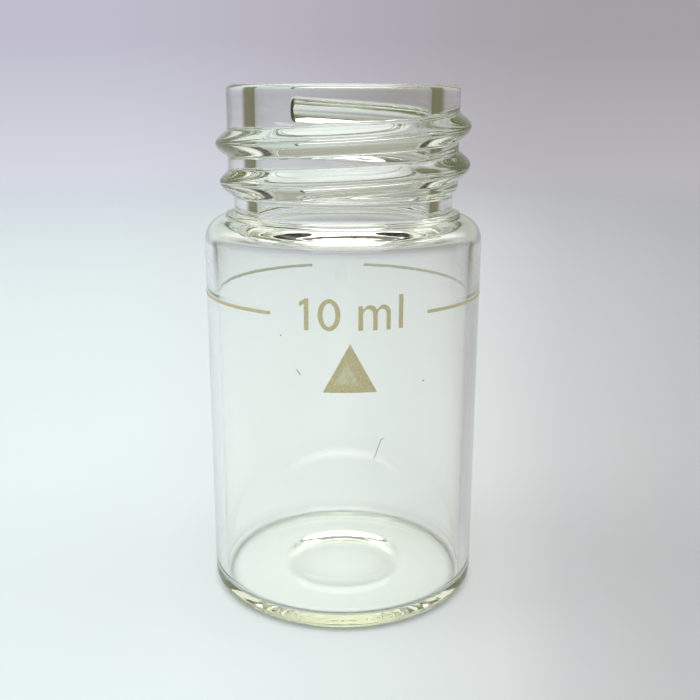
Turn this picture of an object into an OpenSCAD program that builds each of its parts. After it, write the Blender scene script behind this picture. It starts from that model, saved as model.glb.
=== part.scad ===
// Glass sample vial with a screw neck, open at the top.
// Units are millimetres. The vial stands on the XY plane with its axis on Z, and
// its printed marks face -Y. The glass is one piece: its wall is a turned section,
// and one rounded thread bead winds round the neck.

/* [Body] */
// Outside diameter of the body
body_d = 24; // [22:0.5:32]
// Thickness of the body's wall
wall_t = 1; // [0.7:0.05:1.6]
// Height of the shoulder's top above the base
shoulder_h = 33.6; // [30:0.1:60]
// Outside radius where the body turns into the shoulder
shoulder_round = 2; // [1.5:0.1:3]
// Inside radius where the body's wall turns in under the shoulder
shoulder_inner_round = 1.05; // [0.8:0.05:1.5]
// How much lower the inner turn starts than the outer one
shoulder_inner_drop = 0.15; // [0:0.05:0.5]
// Outside radius of the heel
heel_round = 1; // [0.6:0.1:1.6]
// Thickness of the floor above the foot
floor_t = 0.95; // [0.8:0.05:2]
// Radius in the corner between the floor and the wall
floor_round = 0.9; // [0.3:0.1:1.5]
// Diameter of the shallow well in the middle of the floor
well_d = 11.4; // [8:0.2:14]
// Depth of the well
well_depth = 0.4; // [0.1:0.05:0.45]
// Radius of the curve of the well's side, up to its rim
well_curve = 12; // [8:0.5:16]
// Width of the flat ring that the vial stands on
foot_w = 1.2; // [0.6:0.1:3]
// Rise of the hollow inside the foot ring
push_up = 0.15; // [0.1:0.05:0.3]

/* [Neck] */
// Height of the neck from the shoulder to the rim
neck_h = 10.9; // [10.5:0.1:20]
// Diameter of the neck at the root of the thread
root_d = 19.7; // [18.5:0.1:21]
// Diameter of the mouth's bore
mouth_d = 15; // [12:0.5:16]
// Radius of the rim's inner and outer edges
lip_round = 0.45; // [0.2:0.05:0.8]
// Depth below the shoulder's top where the bore's wall would meet the slope inside
throat_drop = 0.45; // [0.3:0.05:0.7]
// Radius where the bore opens into the body
throat_round = 0.8; // [0.5:0.1:1.2]
// Diameter of the waist below the thread
waist_d = 18.8; // [17.5:0.1:19.5]
// Distance from the rim down to the end of the thread's root
root_l = 8.45; // [8:0.05:9]
// Height of the taper from the root down to the waist
taper_h = 0.6; // [0.3:0.1:0.8]
// Diameter over the ridge at the foot of the neck
ridge_d = 20.2; // [19.8:0.1:21]
// Height of the ridge above the shoulder's top
ridge_h = 0.38; // [0.2:0.02:0.6]
// Radius of the ridge's upper edge
ridge_round = 0.2; // [0.1:0.02:0.3]

/* [Thread] */
// Diameter over the crest of the thread
thread_d = 21.7; // [21:0.1:22.5]
// Rise of the thread in one turn
pitch = 3.175; // [2.8:0.005:3.6]
// Width of the bead at its root
bead_w = 2.35; // [1.6:0.05:2.6]
// Number of turns
turns = 2.1; // [1.5:0.05:2.2]
// Distance from the rim down to the crest at the upper end
thread_drop = 2.2; // [1.8:0.1:3]
// Direction of the upper end, counted from +X towards +Y
start_angle = 124; // [0:1:359]
// Angle over which the lower end runs out into the neck
fade_angle = 135; // [60:5:180]

/* [Print] */
// Thickness of the fired ink
ink_t = 0.03; // [0.02:0.01:0.1]
// Distance from the shoulder's top down to the middle of the fill line
line_drop = 6.4; // [4:0.1:10]
// Width of the fill line's stroke
line_w = 0.28; // [0.2:0.02:0.6]
// Half of the gap in the fill line at the front
front_gap = 31; // [20:1:60]
// Half of the gap in the fill line at the back
back_gap = 13; // [5:1:30]
// Distance from the fill line down to the tip of the index triangle
triangle_drop = 2.15; // [1.5:0.05:6]
// Width of the index triangle
triangle_w = 4.3; // [3:0.1:8]
// Height of the index triangle
triangle_h = 3.95; // [2:0.05:8]

/* [Hidden] */
$fn = 96;

body_r = body_d / 2;
chamber_r = body_r - wall_t;
root_r = root_d / 2;
mouth_r = mouth_d / 2;
waist_r = waist_d / 2;
ridge_r = ridge_d / 2;
rim_z = shoulder_h + neck_h;
foot_r = body_r - heel_round;
dish_r = foot_r - foot_w;

// Where the body's wall ends and the shoulder's outer curve begins
wall_top_z = shoulder_h - shoulder_round;
// The well is flat in the middle and curves up to its rim
well_r = well_d / 2;
well_flat_r = well_r - sqrt(2 * well_curve * well_depth - well_depth * well_depth);
well_z = floor_t - well_depth;
// The inner turn is an arc about this point, and a straight slope leaves it for the bore
turn_r = chamber_r - shoulder_inner_round;
turn_z = wall_top_z - shoulder_inner_drop;
bore_end_z = shoulder_h - throat_drop;
turn_to_bore = [mouth_r - turn_r, bore_end_z - turn_z];
slope_normal = atan2(turn_to_bore[1], turn_to_bore[0]) - acos(shoulder_inner_round / norm(turn_to_bore));
// The throat's edge is rounded about this height, where the bore's plain wall ends
throat_z = bore_end_z + throat_round * (1 - cos(slope_normal)) / sin(slope_normal);
// The sphere that hollows the base passes through the foot's inner edge
dish_sphere_r = (dish_r * dish_r + push_up * push_up) / (2 * push_up);

root_end_z = rim_z - root_l;

bead_h = thread_d / 2 - root_r;
// How deep the bead's own solid reaches into the neck's wall
bead_depth = 0.8;
// How far its flanks start below the neck's surface
bead_sunk = 0.12;
// Its bulge, and its share of the full width, where it has run out
bead_tail_h = 0.05;
bead_tail_w = 0.4;
steps_per_turn = 48;
bead_sides = 6;
line_z = shoulder_h - line_drop;
triangle_tip_z = line_z - triangle_drop;

glass = [0.86, 0.91, 0.88, 0.45];
ink = [0.72, 0.66, 0.49];

// Quarter of a disc, its centre at the origin: a rounded outer corner
module quarter(r) {
    intersection() {
        circle(r);
        square(r);
    }
}

// What a rounded inner corner leaves of a square
module cove(r) {
    difference() {
        square(r);
        translate([r, r]) circle(r);
    }
}

// Half section of the vial's outside, filled to the axis
module outside_section() {
    // Foot and heel
    square([foot_r, heel_round]);
    translate([foot_r, heel_round]) mirror([0, 1]) quarter(heel_round);
    // Body
    translate([0, heel_round]) square([body_r, wall_top_z - heel_round]);
    // Shoulder
    translate([0, wall_top_z]) square([body_r - shoulder_round, shoulder_round]);
    translate([body_r - shoulder_round, wall_top_z]) quarter(shoulder_round);
    // Ridge and waist
    translate([0, wall_top_z]) square([ridge_r, shoulder_round + ridge_h - ridge_round]);
    translate([0, shoulder_h]) square([ridge_r - ridge_round, ridge_h]);
    translate([ridge_r - ridge_round, shoulder_h + ridge_h - ridge_round]) quarter(ridge_round);
    translate([0, shoulder_h]) square([waist_r, root_end_z - shoulder_h]);
    polygon([
        [0, root_end_z - taper_h],
        [waist_r, root_end_z - taper_h],
        [root_r, root_end_z],
        [0, root_end_z]
    ]);
    // Threaded part of the neck, and the lip
    translate([0, root_end_z]) square([root_r, root_l - lip_round]);
    translate([0, rim_z - lip_round]) square([root_r - lip_round, lip_round]);
    translate([root_r - lip_round, rim_z - lip_round]) quarter(lip_round);
}

// What rounds the edge between the bore and the slope under the neck
module throat_edge() {
    difference() {
        polygon([
            [mouth_r, bore_end_z],
            [mouth_r + throat_round * (1 - cos(slope_normal)), throat_z - throat_round * sin(slope_normal)],
            [mouth_r + throat_round, throat_z],
            [mouth_r, throat_z]
        ]);
        translate([mouth_r + throat_round, throat_z]) circle(throat_round);
    }
}

// Half section of the well in the floor, run on up into the chamber
module well_section() {
    translate([0, well_z]) square([well_flat_r, well_depth + floor_round]);
    intersection() {
        translate([well_flat_r, well_z + well_curve]) circle(well_curve, $fn = 720);
        translate([0, well_z]) square([well_r, well_depth + floor_round]);
    }
}

// Half section of the space inside the vial, run out past the rim
module inside_section() {
    // Chamber, with a well in the floor and a rounded corner round it
    well_section();
    translate([0, floor_t]) square([chamber_r - floor_round, floor_round]);
    translate([chamber_r - floor_round, floor_t + floor_round]) mirror([0, 1]) quarter(floor_round);
    translate([0, floor_t + floor_round]) square([chamber_r, turn_z - floor_t - floor_round]);
    // The wall turns in under the shoulder and slopes up to the bore
    translate([turn_r, turn_z]) quarter(shoulder_inner_round);
    polygon([
        [0, turn_z],
        [turn_r, turn_z],
        [turn_r, turn_z] + shoulder_inner_round * [cos(slope_normal), sin(slope_normal)],
        [mouth_r, bore_end_z],
        [0, bore_end_z]
    ]);
    // Throat, bore and the rim's inner edge
    throat_edge();
    translate([0, bore_end_z]) square([mouth_r, rim_z - bore_end_z + 1]);
    translate([mouth_r, rim_z]) mirror([0, 1]) cove(lip_round);
}

// Section of the hollow under the base, part of a large circle
module push_up_section() {
    translate([0, push_up - dish_sphere_r]) circle(dish_sphere_r, $fn = 720);
}

// Half section of the glass
module wall_section() {
    difference() {
        outside_section();
        inside_section();
        push_up_section();
    }
}

// Share of the bead's full height at a distance in degrees from its lower end
function bead_share(from_end) = from_end >= fade_angle ? 1 : (1 - cos(180 * from_end / fade_angle)) / 2;

// One section of the bead as [radius, height] points: its flanks start just under the neck's
// surface and meet in a round crest, and it is closed deeper in the wall. As its share falls
// it gets narrower and lower, until its crest lies inside the waist.
function bead_section(share, crest_z) = let (
    half_w = bead_w / 2 * (bead_tail_w + (1 - bead_tail_w) * share),
    flank_r = root_r - bead_sunk - (root_r - waist_r) * (1 - share),
    rise = bead_tail_h + (bead_h + bead_sunk - bead_tail_h) * share
) concat(
    [for (j = [0:bead_sides]) let (u = 2 * j / bead_sides - 1)
        [flank_r + rise * cos(90 * u), crest_z + half_w * u]],
    [[root_r - bead_depth, crest_z + half_w], [root_r - bead_depth, crest_z - half_w]]
);

// The thread: a rounded bead that starts with a blunt end below the rim, winds down
// right-handed and runs out into the neck
module thread_bead() {
    steps = ceil(turns * steps_per_turn);
    sides = bead_sides + 3;
    sweep = 360 * turns;
    points = [for (i = [0:steps]) let (
            turned = sweep * i / steps,
            angle = start_angle - turned,
            section = bead_section(bead_share(sweep - turned), rim_z - thread_drop - pitch * turned / 360)
        ) each [for (q = section) [q[0] * cos(angle), q[0] * sin(angle), q[1]]]];
    skin = [for (i = [0:steps - 1], j = [0:sides - 1]) let (
            a = i * sides + j,
            b = i * sides + (j + 1) % sides
        ) each [[a, b + sides, b], [a, a + sides, b + sides]]];
    upper_end = [for (j = [0:sides - 1]) j];
    lower_end = [for (j = [sides - 1:-1:0]) steps * sides + j];
    polyhedron(points, concat(skin, [upper_end, lower_end]));
}

module glass_vial() {
    color(glass) {
        rotate_extrude() wall_section();
        thread_bead();
    }
}

// One half of the fill line, from the gap at the front round to the gap at the back
module fill_line_half(from_angle) {
    color(ink) rotate_extrude(angle = 180 - front_gap - back_gap, start = from_angle)
        translate([body_r, line_z - line_w / 2]) square([ink_t, line_w]);
}

module fill_line_left() {
    fill_line_half(90 + back_gap);
}

module fill_line_right() {
    fill_line_half(front_gap - 90);
}

// The index triangle points up at the fill line, printed on the front of the body
module index_triangle() {
    color(ink) intersection() {
        rotate([90, 0, 0]) linear_extrude(body_d) polygon([
            [-triangle_w / 2, triangle_tip_z - triangle_h],
            [triangle_w / 2, triangle_tip_z - triangle_h],
            [0, triangle_tip_z]
        ]);
        difference() {
            cylinder(h = rim_z, r = body_r + ink_t);
            translate([0, 0, -1]) cylinder(h = rim_z + 2, r = body_r);
        }
    }
}

glass_vial();
fill_line_left();
fill_line_right();
index_triangle();
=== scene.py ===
import math

import bpy
from mathutils import Matrix, Vector


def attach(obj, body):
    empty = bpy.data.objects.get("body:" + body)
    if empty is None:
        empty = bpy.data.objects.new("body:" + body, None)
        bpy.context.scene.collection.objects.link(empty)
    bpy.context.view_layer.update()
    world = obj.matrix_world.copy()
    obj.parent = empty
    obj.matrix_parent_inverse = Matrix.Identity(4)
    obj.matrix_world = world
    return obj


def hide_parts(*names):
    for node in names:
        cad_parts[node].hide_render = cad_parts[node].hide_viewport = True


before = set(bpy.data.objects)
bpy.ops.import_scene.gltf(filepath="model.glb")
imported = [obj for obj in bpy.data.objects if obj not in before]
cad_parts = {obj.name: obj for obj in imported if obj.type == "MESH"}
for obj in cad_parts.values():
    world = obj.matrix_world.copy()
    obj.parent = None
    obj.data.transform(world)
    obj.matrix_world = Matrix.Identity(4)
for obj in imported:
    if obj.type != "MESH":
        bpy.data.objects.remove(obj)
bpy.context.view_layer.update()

MM = 0.001
AXIS = (0, 0, 1)

# ---------------------------------------------------------------- sizes, in mm, as the solids have them
BODY_R = 12.0
CHAMBER_R = 11.0
HEEL_ROUND = 1.0
FLOOR_Z = 0.95
FLOOR_ROUND = 0.9

# The hollow under the foot
DISH_R = 9.8
DISH_ROUND = 0.5
PUSH_UP = 0.15

# The shallow well in the middle of the floor
WELL_R = 5.7
WELL_DEPTH = 0.4
WELL_CURVE = 12.0

# The shoulder turns on two arcs; inside it a straight slope runs on from the arc up to the bore
SHOULDER_Z = 33.6
OUTER_TURN, OUTER_ROUND = Vector((10.0, 31.6)), 2.0
INNER_TURN, INNER_ROUND = Vector((9.95, 31.45)), 1.05
SLOPE_NORMAL = 75.85  # degrees up from level
BORE_END_Z = 33.15
THROAT_ROUND = 0.8

# The ridge over the shoulder, the waist and the neck
RIDGE_R = 10.1
RIDGE_Z = 33.98
RIDGE_ROUND = 0.2
RIDGE_FOOT_ROUND = 0.12
WAIST_R = 9.4
WAIST_END_Z = 35.45
TAPER_ROUND = 0.7
ROOT_R = 9.85
ROOT_START_Z = 36.05
MOUTH_R = 7.5
RIM_Z = 44.5
LIP_ROUND = 0.45

# The thread's bead, with its angles in degrees
THREAD_TOP = RIM_Z - 2.2  # crest height at the blunt upper end
THREAD_START = 124.0  # from +X towards +Y
PITCH = 3.175
TURNS = 2.1
BEAD_R = 10.85
BEAD_HALF_W = 1.175
BEAD_SUNK = 0.12  # how far its foot lies inside the neck
BEAD_BLUNT = 2.5  # the turn in which the upper end rises
BEAD_FADE = 135.0  # the turn in which the lower end runs out
FADED_RISE = 0.05  # what is left of its height there
FADED_SHARE = 0.4  # what is left of its width there
BEAD_SOFT = 0.1  # the soft root on both flanks

# The fired print
INK_IN = 11.99
INK_OUT = 12.03
LINE_Z = 27.2
LINE_W = 0.28
FRONT_GAP = 31.0  # degrees to either side of the front
BACK_GAP = 13.0

# ---------------------------------------------------------------- how the meshes are laid out
GLASS_COLUMNS = 288
THREAD_ROWS = [36.4 + 0.11 * k for k in range(66)]  # heights, in mm, close enough for the bead
PRINT_COLUMN = 0.2  # mm
MERGE = 1e-6  # m

# ---------------------------------------------------------------- where the view is taken from
EYE_BACK = 83.4 * MM
EYE_UP = 43.85 * MM
EYE_ROUND = 2.6  # degrees round from the printed front; the room is set square to it

# Node kinds and settings that come again and again
MIX, RANGE, MATH = "ShaderNodeMix", "ShaderNodeMapRange", "ShaderNodeMath"
COLOURS = {"data_type": "RGBA"}
TINTED = {"data_type": "RGBA", "blend_type": "MULTIPLY"}


# ---------------------------------------------------------------- small helpers
def linear(code):
    """An sRGB hex code as a linear colour."""
    parts = [int(code[i:i + 2], 16) / 255 for i in (1, 3, 5)]
    return [c / 12.92 if c <= 0.04045 else ((c + 0.055) / 1.055) ** 2.4 for c in parts] + [1.0]


def rounded(corners):
    """A section line through the corners (r, z, fillet radius), each corner turned into an arc.
    Straight runs get a row near each end, so that the shading stays flat between them."""
    arc_step, shortest, long_run, edge_row = 6, 1e-4, 0.7, 0.12
    line = []
    for i, (r, z, fillet) in enumerate(corners):
        here = Vector((r, z))
        if i in (0, len(corners) - 1) or fillet == 0:
            line.append(here)
            continue
        back = (Vector(corners[i - 1][:2]) - here).normalized()
        on = (Vector(corners[i + 1][:2]) - here).normalized()
        half = back.angle(on) / 2
        reach = fillet / math.tan(half)
        centre = here + (back + on).normalized() * (fillet / math.sin(half))
        first = here + back * reach - centre
        last = here + on * reach - centre
        turn = math.pi - 2 * half
        steps = max(3, round(math.degrees(turn) / arc_step))
        side = 1 if first.x * last.y - first.y * last.x > 0 else -1
        for k in range(steps + 1):
            a = side * turn * k / steps
            line.append(centre + Vector((first.x * math.cos(a) - first.y * math.sin(a),
                                         first.x * math.sin(a) + first.y * math.cos(a))))
    out = [line[0]]
    for a, b in zip(line, line[1:]):
        run = (b - a).length
        if run < shortest:
            continue
        if run > long_run:
            inset = (b - a) * (edge_row / run)
            out += [a + inset, b - inset]
        out.append(b)
    return out


def arc(centre, radius, start, end, step):
    """Section corners on an arc between two angles, in degrees."""
    count = round(abs(end - start) / step)
    turns = [math.radians(start + (end - start) * k / count) for k in range(count + 1)]
    return [(centre.x + radius * math.cos(t), centre.y + radius * math.sin(t), 0) for t in turns]


def lone_vertex(name, place):
    """A plane merged to one vertex at its place: the start of a drawn line."""
    bpy.ops.object.select_all(action="DESELECT")
    bpy.ops.mesh.primitive_plane_add(size=MM, location=place)
    piece = bpy.context.object
    piece.name = piece.data.name = name
    bpy.ops.object.transform_apply(location=True, rotation=True, scale=True)
    bpy.ops.object.mode_set(mode="EDIT")
    bpy.ops.mesh.select_all(action="SELECT")
    bpy.ops.mesh.merge(type="CENTER")
    return piece


def draw_on(points):
    """Extrudes the last vertex from point to point."""
    for a, b in zip(points, points[1:]):
        bpy.ops.mesh.extrude_region_move(TRANSFORM_OT_translate={"value": b - a})


def merge_all():
    """Selects the whole mesh in edit mode and merges its doubles."""
    bpy.ops.mesh.select_all(action="SELECT")
    bpy.ops.mesh.remove_doubles(threshold=MERGE)


def close_up():
    """Merges doubles, turns the faces outwards and leaves edit mode."""
    merge_all()
    bpy.ops.mesh.normals_make_consistent(inside=False)
    bpy.ops.object.mode_set(mode="OBJECT")


def fit_on(piece, material):
    """Gives the piece its material and its body."""
    piece.data.materials.clear()
    piece.data.materials.append(material)
    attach(piece, "root")


def node(tree, kind, inputs=None, **settings):
    """Adds a node with its settings; an input takes a value or another node's socket."""
    made = tree.nodes.new(kind)
    for key, value in settings.items():
        setattr(made, key, value)
    for key, value in (inputs or {}).items():
        if isinstance(value, bpy.types.NodeSocket):
            tree.links.new(value, made.inputs[key])
        else:
            made.inputs[key].default_value = value
    return made


def blank(name):
    """A material with an empty node tree and its output."""
    made = bpy.data.materials.new(name)
    made.use_nodes = True
    made.node_tree.nodes.clear()
    return made, made.node_tree, made.node_tree.nodes.new("ShaderNodeOutputMaterial")


# ---------------------------------------------------------------- materials
def borosilicate_glass():
    """Borosilicate tube glass, drawn and fire-polished: quite clear, with draw lines too faint to see
    but for the way they ripple what shows through, and a straw tint where the eye looks far along it."""
    made, tree, out = blank("borosilicate_glass")
    place = node(tree, "ShaderNodeTexCoord").outputs["Object"]
    # Draw lines: they stand 1.54 mm apart round the tube and run 40 mm along it
    gap, length = 1.5385 * MM, 40 * MM
    drawn = node(tree, "ShaderNodeMapping", {"Vector": place, "Scale": (1 / gap, 1 / gap, 1 / length)})
    lines = node(tree, "ShaderNodeTexNoise", {"Vector": drawn.outputs[0], "Scale": 1.0, "Detail": 2.0})
    # Turned marks where the neck was rolled: 0.71 mm apart up the neck, 17 mm long round it
    gap, length = 0.7143 * MM, 16.667 * MM
    rolled = node(tree, "ShaderNodeMapping", {"Vector": place, "Scale": (1 / length, 1 / length, 1 / gap)})
    rings = node(tree, "ShaderNodeTexNoise", {"Vector": rolled.outputs[0], "Scale": 1.0, "Detail": 1.0})
    height = node(tree, "ShaderNodeSeparateXYZ", {"Vector": place}).outputs["Z"]
    on_neck = node(tree, RANGE, {
        "Value": height, "From Min": 31 * MM, "From Max": 35 * MM, "To Min": 0.15, "To Max": 1.0})
    marks = node(tree, MATH, {0: rings.outputs["Fac"], 1: on_neck.outputs[0]}, operation="MULTIPLY")
    both = node(tree, MATH, {0: lines.outputs["Fac"], 1: marks.outputs[0]}, operation="ADD")
    ripple = node(tree, "ShaderNodeBump", {
        "Height": both.outputs[0], "Strength": 0.5, "Distance": 0.012 * MM})
    shader = node(tree, "ShaderNodeBsdfPrincipled", {
        "Base Color": (0.9965, 1, 0.992, 1), "Roughness": 0.0, "IOR": 1.473, "Transmission Weight": 1.0,
        "Normal": ripple.outputs[0]})
    tint = node(tree, "ShaderNodeVolumeAbsorption", {"Color": linear("#e9efc6"), "Density": 30.0})
    tree.links.new(shader.outputs[0], out.inputs["Surface"])
    tree.links.new(tint.outputs[0], out.inputs["Volume"])
    return made


def fired_enamel():
    """Ceramic enamel, screen printed and fired on: khaki, matt, with the fine grain of the frit.
    Inside the triangle the coat is thin, so the glass pales it there."""
    made, tree, out = blank("fired_enamel")
    place = node(tree, "ShaderNodeTexCoord").outputs["Object"]
    # Frit grains are about 0.01 mm; drawn at 0.125 mm so that they show
    grain_size = 0.125 * MM
    grain = node(tree, "ShaderNodeTexNoise", {
        "Vector": place, "Scale": 1 / grain_size, "Detail": 3.0, "Roughness": 0.7})
    thick = node(tree, MIX, {
        "Factor": grain.outputs["Fac"], "A": linear("#9b9052"), "B": linear("#efe7bf")}, **COLOURS)
    thin = node(tree, MIX, {
        "Factor": grain.outputs["Fac"], "A": linear("#b9b882"), "B": linear("#f0f3df")}, **COLOURS)
    # The thin patch is a smaller triangle, a little left of the middle, with soft edges
    patch_x, patch_base, patch_tip, flank = -0.25 * MM, 21.65 * MM, 23.75 * MM, 1.85
    parts = node(tree, "ShaderNodeSeparateXYZ", {"Vector": place})
    shifted = node(tree, MATH, {0: parts.outputs["X"], 1: -patch_x}, operation="ADD")
    apart = node(tree, MATH, {0: shifted.outputs[0]}, operation="ABSOLUTE")
    side = node(tree, MATH, {
        0: apart.outputs[0], 1: flank, 2: parts.outputs["Z"]}, operation="MULTIPLY_ADD")
    under_tip = node(tree, RANGE, {
        "Value": side.outputs[0], "From Min": patch_tip, "From Max": patch_tip - 0.4 * MM})
    over_base = node(tree, RANGE, {
        "Value": parts.outputs["Z"], "From Min": patch_base, "From Max": patch_base + 0.3 * MM})
    inside = node(tree, MATH, {0: under_tip.outputs[0], 1: over_base.outputs[0]}, operation="MULTIPLY")
    # It is broken into specks of 0.4 mm
    speck = 0.3846 * MM
    specks = node(tree, "ShaderNodeTexNoise", {
        "Vector": place, "Scale": 1 / speck, "Detail": 4.0, "Roughness": 0.6})
    broken = node(tree, RANGE, {
        "Value": specks.outputs["Fac"], "From Min": 0.38, "From Max": 0.55, "To Min": 0.25, "To Max": 1.0})
    share = node(tree, MATH, {0: inside.outputs[0], 1: broken.outputs[0]}, operation="MULTIPLY")
    colour = node(tree, MIX, {
        "Factor": share.outputs[0], "A": thick.outputs[2], "B": thin.outputs[2]}, **COLOURS)
    # The face that lies on the glass, seen from behind through it, is given a paler, greener colour: painted
    # light standing in for light that comes through the thin coat
    level = node(tree, "ShaderNodeVectorMath", {0: place, 1: (1, 1, 0)}, operation="MULTIPLY")
    radius = node(tree, "ShaderNodeVectorMath", {0: level.outputs[0]}, operation="LENGTH")
    outward = node(tree, RANGE, {
        "Value": radius.outputs["Value"], "From Min": INK_IN * MM, "From Max": INK_OUT * MM})
    painted_backlight_colour = node(tree, MIX, {
        "Factor": outward.outputs[0], "A": linear("#f2f6e4"), "B": colour.outputs[2]}, **COLOURS)
    bump = node(tree, "ShaderNodeBump", {
        "Height": grain.outputs["Fac"], "Strength": 0.4, "Distance": 0.01 * MM})
    shader = node(tree, "ShaderNodeBsdfPrincipled", {
        "Base Color": painted_backlight_colour.outputs[2], "Roughness": 0.55, "IOR": 1.5, "Normal": bump.outputs[0]})
    tree.links.new(shader.outputs[0], out.inputs["Surface"])
    return made


def lint():
    """Dust and a stray fibre: grey, dull and fuzzy."""
    made, tree, out = blank("lint")
    place = node(tree, "ShaderNodeTexCoord").outputs["Object"]
    # The fuzz of a fibre is finer than 0.02 mm; drawn at 0.17 mm so that it shows
    fuzz_size = 0.16667 * MM
    fuzz = node(tree, "ShaderNodeTexNoise", {"Vector": place, "Scale": 1 / fuzz_size, "Detail": 2.0})
    colour = node(tree, MIX, {
        "Factor": fuzz.outputs["Fac"], "A": linear("#4c544f"), "B": linear("#8b938c")}, **COLOURS)
    shader = node(tree, "ShaderNodeBsdfPrincipled", {"Base Color": colour.outputs[2], "Roughness": 0.9})
    tree.links.new(shader.outputs[0], out.inputs["Surface"])
    return made


# ---------------------------------------------------------------- the vial's glass
def bead_reach(angle, z):
    """Radius of the thread bead at a direction and height, or 0 where there is none."""
    best = 0.0
    turned = (THREAD_START - angle) % 360
    while turned <= 360 * TURNS:
        crest = THREAD_TOP - PITCH * turned / 360
        left = 360 * TURNS - turned
        share = 1.0 if left >= BEAD_FADE else (1 - math.cos(math.pi * left / BEAD_FADE)) / 2
        blunt = min(1.0, turned / BEAD_BLUNT)
        across = (z - crest) / (BEAD_HALF_W * (FADED_SHARE + (1 - FADED_SHARE) * share))
        if abs(across) < 1:
            foot = ROOT_R - BEAD_SUNK - (ROOT_R - WAIST_R) * (1 - share)
            rise = FADED_RISE + (BEAD_R - ROOT_R + BEAD_SUNK - FADED_RISE) * share
            best = max(best, foot + rise * math.cos(math.pi / 2 * across) * blunt)
        turned += 360
    return best


def blown_vial():
    """The vial: half a section drawn from the base's middle round to the floor's, and spun."""
    dish = [(r, PUSH_UP * (1 - (r / DISH_R) ** 2), 0) for r in (0, 2, 4, 6, 7.5, 8.7, 9.4)]
    outside = [(DISH_R, 0, DISH_ROUND), (BODY_R, 0, HEEL_ROUND)] + arc(OUTER_TURN, OUTER_ROUND, 0, 84, 4) + [
        (RIDGE_R, SHOULDER_Z, 0), (RIDGE_R, RIDGE_Z, RIDGE_ROUND), (WAIST_R, RIDGE_Z, RIDGE_FOOT_ROUND),
        (WAIST_R, WAIST_END_Z, TAPER_ROUND), (ROOT_R, ROOT_START_Z, TAPER_ROUND)]
    threaded = [(ROOT_R, z, 0) for z in THREAD_ROWS]
    well_bottom = FLOOR_Z - WELL_DEPTH
    well_flat = WELL_R - math.sqrt(2 * WELL_CURVE * WELL_DEPTH - WELL_DEPTH ** 2)
    steepest = math.degrees(math.acos(1 - WELL_DEPTH / WELL_CURVE))
    well = Vector((well_flat, well_bottom + WELL_CURVE))
    inside = (
        [(ROOT_R, RIM_Z, LIP_ROUND), (MOUTH_R, RIM_Z, LIP_ROUND), (MOUTH_R, BORE_END_Z, THROAT_ROUND)]
        + arc(INNER_TURN, INNER_ROUND, SLOPE_NORMAL, 0, 5)
        + [(CHAMBER_R, FLOOR_Z, FLOOR_ROUND), (WELL_R + 0.4, FLOOR_Z, 0), (WELL_R + 0.12, FLOOR_Z - 0.005, 0)]
        + arc(well, WELL_CURVE, steepest - 90.3, -90, 1.5)
        + [(well_flat - 0.4, well_bottom, 0), (0, well_bottom, 0)])
    section = [Vector((p.x, 0, p.y)) * MM for p in rounded(dish + outside + threaded + inside)]
    vial = lone_vertex("vial_glass", section[0])
    draw_on(section)
    bpy.ops.mesh.select_all(action="SELECT")
    bpy.ops.mesh.spin(steps=GLASS_COLUMNS, angle=2 * math.pi, center=(0, 0, 0), axis=AXIS)
    close_up()
    # The bead winds across the rows, so it is raised point by point from the neck's outside
    thread_low, thread_high, bore_clear = 34.3, 43.9, 9.0
    for v in vial.data.vertices:
        r, z = math.hypot(v.co.x, v.co.y) / MM, v.co.z / MM
        if thread_low < z < thread_high and r > bore_clear:
            reach = bead_reach(math.degrees(math.atan2(v.co.y, v.co.x)), z)
            nearness = max(0.0, 1 - abs(reach - r) / BEAD_SOFT)
            grown = max(r, reach) + BEAD_SOFT * nearness ** 2 / 4
            v.co.x *= grown / r
            v.co.y *= grown / r
    bpy.ops.object.shade_smooth()
    return vial


vial = blown_vial()
fit_on(vial, borosilicate_glass())
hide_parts("glass_vial")

# ---------------------------------------------------------------- the print
enamel = fired_enamel()


def printed_line(name, start, sweep):
    """A strip of the fill line: its small section spun from one gap to the next."""
    bpy.ops.object.select_all(action="DESELECT")
    bpy.ops.mesh.primitive_plane_add(size=MM, location=(0, 0, 0), rotation=(math.pi / 2, 0, 0))
    strip = bpy.context.object
    strip.name = strip.data.name = name
    strip.scale = (INK_OUT - INK_IN, LINE_W, 1)
    bpy.ops.object.transform_apply(location=False, rotation=True, scale=True)
    strip.location = ((INK_OUT + INK_IN) / 2 * MM, 0, LINE_Z * MM)
    bpy.ops.object.transform_apply(location=True, rotation=False, scale=False)
    bpy.ops.object.mode_set(mode="EDIT")
    bpy.ops.mesh.select_all(action="SELECT")
    bpy.ops.transform.rotate(value=-math.radians(start), orient_axis="Z", center_override=(0, 0, 0))
    bpy.ops.mesh.spin(steps=round(sweep), angle=-math.radians(sweep), center=(0, 0, 0), axis=AXIS)
    close_up()
    fit_on(strip, enamel)
    return strip


sweep = 180 - FRONT_GAP - BACK_GAP
line_right = printed_line("fill_line_print_right", FRONT_GAP - 90, sweep)
line_left = printed_line("fill_line_print_left", 90 + BACK_GAP, sweep)
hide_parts("fill_line_right")
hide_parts("fill_line_left")


def oval(x, z, a, b, start, end, steps):
    """Points on an oval from one angle to another, in degrees."""
    turns = [math.radians(start + (end - start) * k / steps) for k in range(steps + 1)]
    return [(x + a * math.cos(t), z + b * math.sin(t)) for t in turns]


def punch(shape, hole):
    """Sets a ring into the outline being edited and fills the band between the two."""
    bpy.ops.mesh.select_all(action="DESELECT")
    bpy.ops.mesh.primitive_circle_add(vertices=len(hole), radius=MM, location=(0, 0, 0))
    bpy.ops.object.mode_set(mode="OBJECT")
    ring = [v for v in shape.data.vertices if v.select]
    for v, (x, z) in zip(ring, hole):
        v.co = Vector((x, 0, z)) * MM
    bpy.ops.object.mode_set(mode="EDIT")
    bpy.ops.mesh.select_all(action="SELECT")
    bpy.ops.mesh.bridge_edge_loops()


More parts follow.
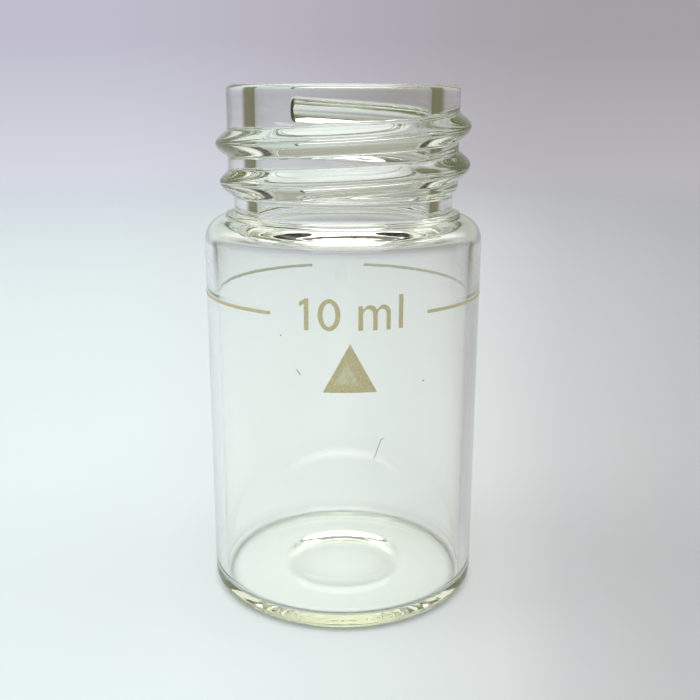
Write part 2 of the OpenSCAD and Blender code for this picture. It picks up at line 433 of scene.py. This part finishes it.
def printed_shape(name, outline, hole=None):
    """A flat outline filled, cut into narrow columns, laid on the barrel and given the ink's thickness."""
    points = [Vector((x, 0, z)) * MM for x, z in outline]
    shape = lone_vertex(name, points[0])
    draw_on(points + [points[0]])
    merge_all()
    if hole:
        punch(shape, hole)
    else:
        bpy.ops.mesh.edge_face_add()
    xs = [x for x, _ in outline]
    cut = min(xs) + PRINT_COLUMN
    while cut < max(xs) - PRINT_COLUMN / 4:
        bpy.ops.mesh.select_all(action="SELECT")
        bpy.ops.mesh.bisect(plane_co=(cut * MM, 0, 0), plane_no=(1, 0, 0))
        cut += PRINT_COLUMN
    merge_all()
    bpy.ops.object.mode_set(mode="OBJECT")
    for v in shape.data.vertices:
        turn = v.co.x / (BODY_R * MM)
        v.co = Vector((math.sin(turn) * INK_IN * MM, -math.cos(turn) * INK_IN * MM, v.co.z))
    bpy.ops.object.mode_set(mode="EDIT")
    bpy.ops.mesh.select_all(action="SELECT")
    bpy.ops.mesh.normals_make_consistent(inside=False)
    bpy.ops.object.mode_set(mode="OBJECT")
    facing = sum(p.normal.y * p.area for p in shape.data.polygons)
    coat = shape.modifiers.new("coat", "SOLIDIFY")
    coat.thickness = (INK_OUT - INK_IN) * MM
    coat.offset = 1 if facing < 0 else -1
    bpy.ops.object.modifier_apply(modifier="coat")
    bpy.ops.object.mode_set(mode="EDIT")
    close_up()
    fit_on(shape, enamel)
    return shape


# Outlines are drawn flat, in mm round from the front and up from the foot
triangle = printed_shape("index_triangle_print", [(-2.15, 21.1), (2.15, 21.1), (0, 25.05)])
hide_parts("index_triangle")

printed_shape("figure_one_print", [
    (-3.60, 26.08), (-3.24, 26.08), (-3.24, 28.60), (-3.52, 28.60),
    (-4.03, 28.24), (-3.94, 27.94), (-3.60, 28.16)])
printed_shape(
    "figure_nought_print",
    oval(-1.635, 27.33, 0.885, 1.26, 0, 360, 48)[:-1],
    hole=oval(-1.635, 27.33, 0.495, 0.93, 0, 360, 48)[:-1])
printed_shape("letter_m_print", (
    [(0.63, 26.10), (0.63, 28.03), (0.96, 28.03), (0.99, 27.78)]
    + oval(1.56, 27.45, 0.57, 0.66, 140, 25, 10)
    + oval(2.63, 27.45, 0.57, 0.66, 140, 0, 12)
    + [(3.20, 26.10), (2.86, 26.10)]
    + oval(2.50, 27.36, 0.36, 0.43, 0, 180, 12)
    + [(2.14, 26.10), (1.79, 26.10)]
    + oval(1.395, 27.36, 0.395, 0.43, 0, 180, 12)
    + [(1.00, 26.10)]))
printed_shape("letter_l_print", [(3.88, 26.15), (4.24, 26.15), (4.24, 28.84), (3.88, 28.84)])

# ---------------------------------------------------------------- dust on the glass
dust = lint()


def on_barrel(along, z, off=0.03):
    """A point just off the barrel's outside, by its distance round from the front and its height."""
    turn = along / BODY_R
    return Vector(((BODY_R + off) * math.sin(turn), -(BODY_R + off) * math.cos(turn), z)) * MM


def stray_fibre(name, thickness, places):
    """A thread-thin tube through places on the barrel, made a mesh before it takes its place."""
    bpy.ops.object.select_all(action="DESELECT")
    line = bpy.data.curves.new(name, "CURVE")
    line.dimensions = "3D"
    line.bevel_depth = thickness / 2 * MM
    line.bevel_resolution = 2
    line.use_fill_caps = True
    run = line.splines.new("NURBS")
    run.points.add(len(places) - 1)
    for point, place in zip(run.points, places):
        point.co = (*on_barrel(*place), 1)
    run.use_endpoint_u = True
    run.order_u = 3
    fibre = bpy.data.objects.new(name, line)
    bpy.context.scene.collection.objects.link(fibre)
    bpy.context.view_layer.objects.active = fibre
    fibre.select_set(True)
    bpy.ops.object.convert(target="MESH")
    fibre = bpy.context.object
    fibre.data.name = name
    bpy.ops.object.shade_smooth()
    fit_on(fibre, dust)


stray_fibre("barrel_fibre", 0.05, [
    (1.93, 15.50), (2.10, 15.85), (2.22, 16.30), (2.45, 16.85), (2.50, 17.12), (2.75, 17.15)])
stray_fibre("barrel_lint_left", 0.06, [(-4.25, 22.85), (-4.05, 22.62), (-3.92, 22.42)])
stray_fibre("barrel_lint_right", 0.08, [(6.15, 21.62), (6.21, 21.56), (6.27, 21.55)])
stray_fibre("barrel_lint_high", 0.08, [(-5.60, 25.53), (-5.55, 25.50), (-5.50, 25.50)])


# ---------------------------------------------------------------- floor, room and light
def paper_ground():
    """Matt white paper with painted shade: coloured brighter to the left, darker to the right, and darker and
    cooler far off. It fades into the room.
    """
    made, tree, out = blank("paper_ground")
    place = node(tree, "ShaderNodeTexCoord").outputs["Object"]
    parts = node(tree, "ShaderNodeSeparateXYZ", {"Vector": place})
    # The painted shade lies in a fan that opens away from the front: the colour is lighter to the left and
    # darker to the right
    off = node(tree, MATH, {0: parts.outputs["Y"], 1: EYE_BACK}, operation="ADD")
    depth = node(tree, MATH, {0: off.outputs[0], 1: 40 * MM}, operation="MAXIMUM")
    slant = node(tree, MATH, {0: parts.outputs["X"], 1: depth.outputs[0]}, operation="DIVIDE")
    across = node(tree, RANGE, {"Value": slant.outputs[0], "From Min": -0.2, "From Max": 0.4})
    painted_shade_ramp = node(tree, "ShaderNodeValToRGB", {"Fac": across.outputs[0]})
    painted_shade_stops = ((0.0, "#ebf6f6"), (0.33, "#e6eeec"), (0.63, "#dde1e0"), (0.77, "#cfd2d2"), (1.0, "#c5c6c7"))
    for i, (at, code) in enumerate(painted_shade_stops):
        stop = painted_shade_ramp.color_ramp.elements[i] if i < 2 else painted_shade_ramp.color_ramp.elements.new(at)
        stop.position = at
        stop.color = linear(code)
    # Painted dimming: farther off, the paper's colour is made darker and cooler
    far = node(tree, "ShaderNodeVectorMath", {0: place}, operation="LENGTH").outputs["Value"]
    away = node(tree, RANGE, {"Value": far, "From Min": 50 * MM, "From Max": 450 * MM})
    painted_far_dimming = node(tree, MIX, {
        "Factor": away.outputs[0], "A": (1, 1, 1, 1), "B": (0.81, 0.82, 0.87, 1)}, **COLOURS)
    colour = node(tree, MIX, {"Factor": 1.0, "A": painted_shade_ramp.outputs[0], "B": painted_far_dimming.outputs[2]}, **TINTED)
    paper = node(tree, "ShaderNodeBsdfDiffuse", {"Color": colour.outputs[2]})
    gone = node(tree, "ShaderNodeBsdfTransparent")
    edge = node(tree, RANGE, {
        "Value": far, "From Min": 200 * MM, "From Max": 490 * MM}, interpolation_type="SMOOTHSTEP")
    # What the glass turns finds the room sooner
    path = node(tree, "ShaderNodeLightPath")
    turned = node(tree, MATH, {0: path.outputs["Glossy Depth"], 1: 0.5}, operation="GREATER_THAN")
    soon = node(tree, RANGE, {"Value": far, "From Min": 120 * MM, "From Max": 200 * MM})
    early = node(tree, MATH, {0: soon.outputs[0], 1: turned.outputs[0]}, operation="MULTIPLY")
    ended = node(tree, MATH, {0: edge.outputs[0], 1: early.outputs[0]}, operation="MAXIMUM")
    mix = node(tree, "ShaderNodeMixShader", {0: ended.outputs[0], 1: paper.outputs[0], 2: gone.outputs[0]})
    tree.links.new(mix.outputs[0], out.inputs["Surface"])
    return made


bpy.ops.object.select_all(action="DESELECT")
# A hair under the foot, so that the eye finds air between glass and paper
HAIR = 0.02 * MM
bpy.ops.mesh.primitive_circle_add(vertices=96, radius=0.5, fill_type="NGON", location=(0, 0, -HAIR))
ground = bpy.context.object
ground.name = "ground"
ground.data.materials.append(paper_ground())


def room():
    """The room: plain light on whatever is matt, and for the eye a pale wall, brighter to the left.
    The glass finds the same wall, a duller ceiling, and dim sides where it has turned the view."""
    world = bpy.data.worlds.new("room")
    bpy.context.scene.world = world
    world.use_nodes = True
    tree = world.node_tree
    tree.nodes.clear()
    out = tree.nodes.new("ShaderNodeOutputWorld")
    path = node(tree, "ShaderNodeLightPath").outputs
    parts = node(tree, "ShaderNodeSeparateXYZ", {
        "Vector": node(tree, "ShaderNodeTexCoord").outputs["Generated"]})
    x, y, z = parts.outputs

    # The wall behind the vial
    across = node(tree, RANGE, {
        "Value": x, "From Min": -0.22, "From Max": 0.28}, interpolation_type="SMOOTHSTEP")
    wall = node(tree, MIX, {
        "Factor": across.outputs[0], "A": linear("#c8cad6"), "B": linear("#aeabb0")}, **COLOURS)
    rise = node(tree, RANGE, {"Value": z, "From Min": -0.12, "From Max": 0.05})
    lift = node(tree, MIX, {
        "Factor": rise.outputs[0], "A": (1.24, 1.27, 1.23, 1), "B": (0.915, 0.87, 0.90, 1)}, **COLOURS)
    seen = node(tree, MIX, {"Factor": 1.0, "A": wall.outputs[2], "B": lift.outputs[2]}, **TINTED)

    # For the glass alone: a little dimmer at eye level, paler and greener above that, then the ceiling
    bent = node(tree, MATH, {0: 1.0, 1: path["Is Camera Ray"]}, operation="SUBTRACT").outputs[0]
    level = node(tree, RANGE, {"Value": z, "From Min": -0.1, "From Max": 0.0, "To Min": 0.0, "To Max": 0.16})
    level_bent = node(tree, MATH, {0: level.outputs[0], 1: bent}, operation="MULTIPLY")
    dimmed = node(tree, MIX, {
        "Factor": level_bent.outputs[0], "A": seen.outputs[2], "B": (0, 0, 0, 1)}, **COLOURS)
    green = node(tree, RANGE, {"Value": z, "From Min": 0.0, "From Max": 0.12})
    green_bent = node(tree, MATH, {0: green.outputs[0], 1: bent}, operation="MULTIPLY")
    paler = node(tree, MIX, {
        "Factor": green_bent.outputs[0], "A": dimmed.outputs[2], "B": (1.5, 1.74, 1.42, 1)}, **TINTED)
    high = node(tree, RANGE, {"Value": z, "From Min": 0.2, "From Max": 0.4})
    high_bent = node(tree, MATH, {0: high.outputs[0], 1: bent}, operation="MULTIPLY")
    upper = node(tree, MIX, {
        "Factor": high_bent.outputs[0], "A": paler.outputs[2], "B": linear("#adada0")}, **COLOURS)

    # For what has been turned inside the glass: a bright upper wall behind the vial, the dim sides of
    # the room, olive low down and nearly black above, and the brownish side that the eye looks from
    turn = node(tree, MATH, {0: x, 1: y}, operation="ARCTAN2")
    ahead = node(tree, MATH, {0: turn.outputs[0], 1: -math.radians(EYE_ROUND)}, operation="ADD")
    apart = node(tree, MATH, {0: ahead.outputs[0]}, operation="ABSOLUTE").outputs[0]
    bright = node(tree, RANGE, {"Value": z, "From Min": 0.3, "From Max": 0.48})
    behind = node(tree, MIX, {
        "Factor": bright.outputs[0], "A": paler.outputs[2], "B": (1, 1, 0.96, 1)}, **COLOURS)
    height = node(tree, RANGE, {"Value": z, "From Min": 0.1, "From Max": 0.45})
    gloom = node(tree, MIX, {
        "Factor": height.outputs[0], "A": linear("#6f6d52"), "B": linear("#26261e")}, **COLOURS)
    # Higher up the dim sides begin farther round
    swept = node(tree, MATH, {0: height.outputs[0], 1: -0.3, 2: apart}, operation="MULTIPLY_ADD")
    sides = node(tree, RANGE, {
        "Value": swept.outputs[0], "From Min": math.radians(34), "From Max": math.radians(44)})
    round_view = node(tree, MIX, {
        "Factor": sides.outputs[0], "A": behind.outputs[2], "B": gloom.outputs[2]}, **COLOURS)
    near = node(tree, RANGE, {"Value": apart, "From Min": math.radians(100), "From Max": math.radians(125)})
    all_round = node(tree, MIX, {
        "Factor": near.outputs[0], "A": round_view.outputs[2], "B": linear("#6a6153")}, **COLOURS)
    turned = node(tree, MATH, {0: path["Glossy Depth"], 1: 0.5}, operation="GREATER_THAN")
    through = node(tree, MATH, {0: path["Transmission Depth"], 1: 0.5}, operation="GREATER_THAN")
    both = node(tree, MATH, {0: turned.outputs[0], 1: through.outputs[0]}, operation="MULTIPLY")
    view = node(tree, MIX, {
        "Factor": both.outputs[0], "A": upper.outputs[2], "B": all_round.outputs[2]}, **COLOURS)
    for_eye = node(tree, "ShaderNodeBackground", {"Color": view.outputs[2], "Strength": 1.0})

    # The paper under the foot gets back through the glass what the lamps can't give it; light led
    # round inside the glass reaches the paper dimmed, so the foot keeps its dark edge
    let_in = node(tree, RANGE, {
        "Value": path["Transmission Depth"], "From Min": 4.5, "From Max": 6.5,
        "To Min": 0.61, "To Max": 0.92})
    led = node(tree, RANGE, {
        "Value": path["Glossy Depth"], "From Min": 1.2, "From Max": 3.2, "To Min": 1.0, "To Max": 0.03})
    share = node(tree, MATH, {0: let_in.outputs[0], 1: led.outputs[0]}, operation="MULTIPLY")
    for_light = node(tree, "ShaderNodeBackground", {"Color": (1, 1, 1, 1), "Strength": share.outputs[0]})

    # The eye's own ray, and what glass makes of it, before anything matt is met
    eye = node(tree, MATH, {0: path["Is Camera Ray"], 1: path["Is Glossy Ray"]}, operation="MAXIMUM")
    looking = node(tree, MATH, {0: eye.outputs[0], 1: path["Is Transmission Ray"]}, operation="MAXIMUM")
    clean = node(tree, MATH, {0: path["Diffuse Depth"], 1: 0.5}, operation="LESS_THAN")
    by_eye = node(tree, MATH, {0: looking.outputs[0], 1: clean.outputs[0]}, operation="MULTIPLY")
    mix = node(tree, "ShaderNodeMixShader", {
        0: by_eye.outputs[0], 1: for_light.outputs[0], 2: for_eye.outputs[0]})
    tree.links.new(mix.outputs[0], out.inputs["Surface"])


room()


def outward(azimuth, elevation):
    """A direction from the vial. Azimuth 0 is behind it, and 90 is its right."""
    a, e = math.radians(azimuth), math.radians(elevation)
    return Vector((math.sin(a) * math.cos(e), math.cos(a) * math.cos(e), math.sin(e)))


def lamp(name, azimuth, elevation, distance, wide, high, radiance):
    """A soft rectangular lamp aimed at the vial, with its sizes in metres."""
    aim = Vector((0, 0, 20 * MM))
    light = bpy.data.lights.new(name, "AREA")
    light.shape = "RECTANGLE"
    light.size = wide
    light.size_y = high
    light.energy = radiance * math.pi * wide * high
    made = bpy.data.objects.new(name, light)
    bpy.context.scene.collection.objects.link(made)
    way = outward(azimuth, elevation)
    made.location = aim + way * distance
    made.rotation_mode = "QUATERNION"
    made.rotation_quaternion = way.to_track_quat("Z", "Y")
    return made


lamp("ceiling_softbox", 180, 83, 0.7, 0.68, 0.88, 0.9)
# Soft light from both sides, which lays a faint shadow either way on the paper
for name, azimuth, radiance in (("side_left", -92, 1.5), ("side_right", 88, 0.8)):
    side_lamp = lamp(name, azimuth, 48, 0.6, 0.34, 0.34, radiance)
    side_lamp.visible_glossy = False
    side_lamp.visible_transmission = False

# What the glass alone shows of the lamps: no light of theirs falls on anything matt
ceiling_glow = lamp("ceiling_glow", 180, 83, 0.69, 0.66, 0.88, 2.2)
window_glow = lamp("window_glow", 3, 42, 0.6, 0.36, 0.1, 1.3)
for glow in (ceiling_glow, window_glow):
    glow.visible_diffuse = False
    glow.data.use_nodes = True
    tree = glow.data.node_tree
    path = node(tree, "ShaderNodeLightPath")
    unlit = node(tree, MATH, {0: path.outputs["Diffuse Depth"], 1: 0.5}, operation="LESS_THAN")
    tree.links.new(unlit.outputs[0], tree.nodes["Emission"].inputs["Strength"])

# ---------------------------------------------------------------- camera
LENS = 49.1
PAN, DOWN = 0.43, 15.1  # degrees right of the axis, and below level
TILT = 0.003  # radians
side = math.radians(EYE_ROUND)
camera = bpy.data.objects.new("camera", bpy.data.cameras.new("camera"))
bpy.context.scene.collection.objects.link(camera)
camera.data.sensor_width = 36
camera.data.lens = LENS
camera.data.clip_start = 5 * MM
camera.location = (-EYE_BACK * math.sin(side), -EYE_BACK * math.cos(side), EYE_UP)
aim = (
    Matrix.Rotation(-math.radians(EYE_ROUND + PAN), 4, "Z")
    @ Matrix.Rotation(math.radians(90 - DOWN), 4, "X")
    @ Matrix.Rotation(TILT, 4, "Z"))
camera.rotation_euler = aim.to_euler()

scene = bpy.context.scene
scene.camera = camera
scene.view_settings.view_transform = "Standard"
# Glass turns light many times before it gets out
scene.cycles.max_bounces = 96
scene.cycles.transmission_bounces = 96
scene.cycles.glossy_bounces = 96
scene.cycles.blur_glossy = 0.0
